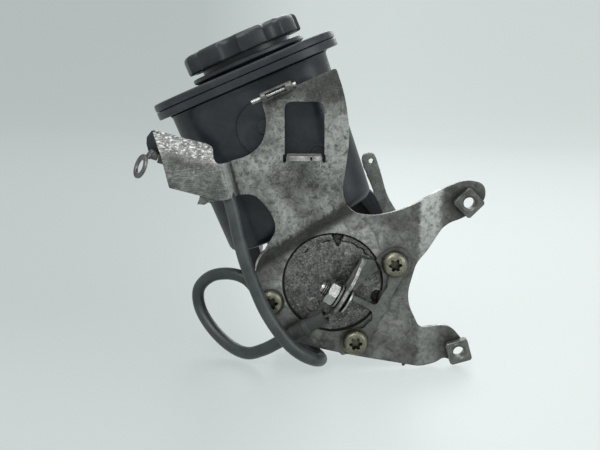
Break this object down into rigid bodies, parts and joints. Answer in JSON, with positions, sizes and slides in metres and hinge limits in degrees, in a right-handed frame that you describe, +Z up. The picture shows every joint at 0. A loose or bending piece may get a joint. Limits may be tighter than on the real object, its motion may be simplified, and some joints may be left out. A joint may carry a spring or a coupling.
{
  "type": "hydraulic vane pump with reservoir",
  "caption": "Hydraulic vane pump with a leaning black fluid reservoir and screw cap, joggled sheet-steel bracket, drive hub and an earth lead looped from a terminal bracket.",
  "frame": {"origin": "centre of the drive hub's flat face", "axes": "+Y along the pump shaft out of the drive hub, +Z up, +X to the right seen from the bracket side; the reservoir leans 23 degrees towards -X"},
  "size_m": [0.2126, 0.123, 0.2192],
  "materials": {
    "black_plastic": "satin",
    "natural_plastic": "matte",
    "rubber": "matte",
    "lead_rubber": "satin",
    "bracket_steel": "worn",
    "cast_alloy": "rough cast",
    "bright_steel": "satin",
    "yellow_zinc": "satin",
    "ground_steel": "ground"
  },
  "bodies": {
    "pump_body": {"reservoir_lower": "black_plastic", "reservoir_upper": "black_plastic", "strainer": "natural_plastic", "suction_grommet": "rubber", "cover_seal": "rubber", "shaft_seal": "rubber", "inner_boot": "rubber", "earth_lead": "lead_rubber", "mounting_bracket": "bracket_steel", "terminal_bracket": "bracket_steel", "pump_housing": "cast_alloy", "end_cover": "cast_alloy", "reservoir_strap": "cast_alloy", "retaining_rod": "bright_steel", "weld_nut_upper": "bright_steel", "weld_nut_lower": "bright_steel", "terminal_bolt": "bright_steel", "terminal_washer": "bright_steel", "terminal_nut": "bright_steel", "inner_ring_terminal": "bright_steel", "outer_ring_terminal": "bright_steel", "strap_bolt": "yellow_zinc", "torx_screw_right": "yellow_zinc", "torx_screw_left": "yellow_zinc", "torx_screw_lower": "yellow_zinc", "flow_plug": "yellow_zinc", "pressure_union": "yellow_zinc", "cover_snap_ring": "ground_steel", "cam_ring": "ground_steel", "pressure_plate": "ground_steel", "pressure_spring": "ground_steel", "bearing_outer_race": "ground_steel", "bearing_circlip": "ground_steel", "flow_spring": "ground_steel"},
    "cap_lift_body": {"cap_seal": "rubber"},
    "cap_body": {"filler_cap": "black_plastic", "dipstick": "natural_plastic"},
    "rotating_group": {"drive_shaft": "ground_steel", "drive_hub": "ground_steel", "rotor": "ground_steel", "bearing_inner_race": "ground_steel", "vane_1": "ground_steel", "vane_2": "ground_steel", "vane_3": "ground_steel", "vane_4": "ground_steel", "vane_5": "ground_steel", "vane_6": "ground_steel", "vane_7": "ground_steel", "vane_8": "ground_steel", "vane_9": "ground_steel", "vane_10": "ground_steel"},
    "ball_cage": {"bearing_ball_cage": "ground_steel"},
    "spool_body": {"flow_spool": "ground_steel"}
  },
  "joints": [
    {"name": "cap_lift", "type": "slide", "parent": "pump_body", "child": "cap_lift_body", "axis": [-0.3907, 0, 0.9205], "range_m": [0, 0.007]},
    {"name": "cap_turn", "type": "hinge", "parent": "cap_lift_body", "child": "cap_body", "pos_m": [-0.05511, -0.048, 0.13956], "axis": [-0.3907, 0, 0.9205], "range_deg": [0, 630]},
    {"name": "shaft_spin", "type": "hinge", "parent": "pump_body", "child": "rotating_group", "pos_m": [0, 0, 0], "axis": [0, 1, 0], "continuous": true},
    {"name": "cage_spin", "type": "hinge", "parent": "pump_body", "child": "ball_cage", "pos_m": [0, -0.028, 0], "axis": [0, 1, 0], "continuous": true},
    {"name": "spool_slide", "type": "slide", "parent": "pump_body", "child": "spool_body", "axis": [1, 0, 0], "range_m": [0, 0.008], "stiffness_N_per_m": 400, "deforming": ["flow_spring"]}
  ],
  "couplings": [
    {"joint": "cap_lift", "follows": "cap_turn", "m_per_rad": 0.00063662},
    {"joint": "cage_spin", "follows": "shaft_spin", "ratio": 0.4}
  ]
}
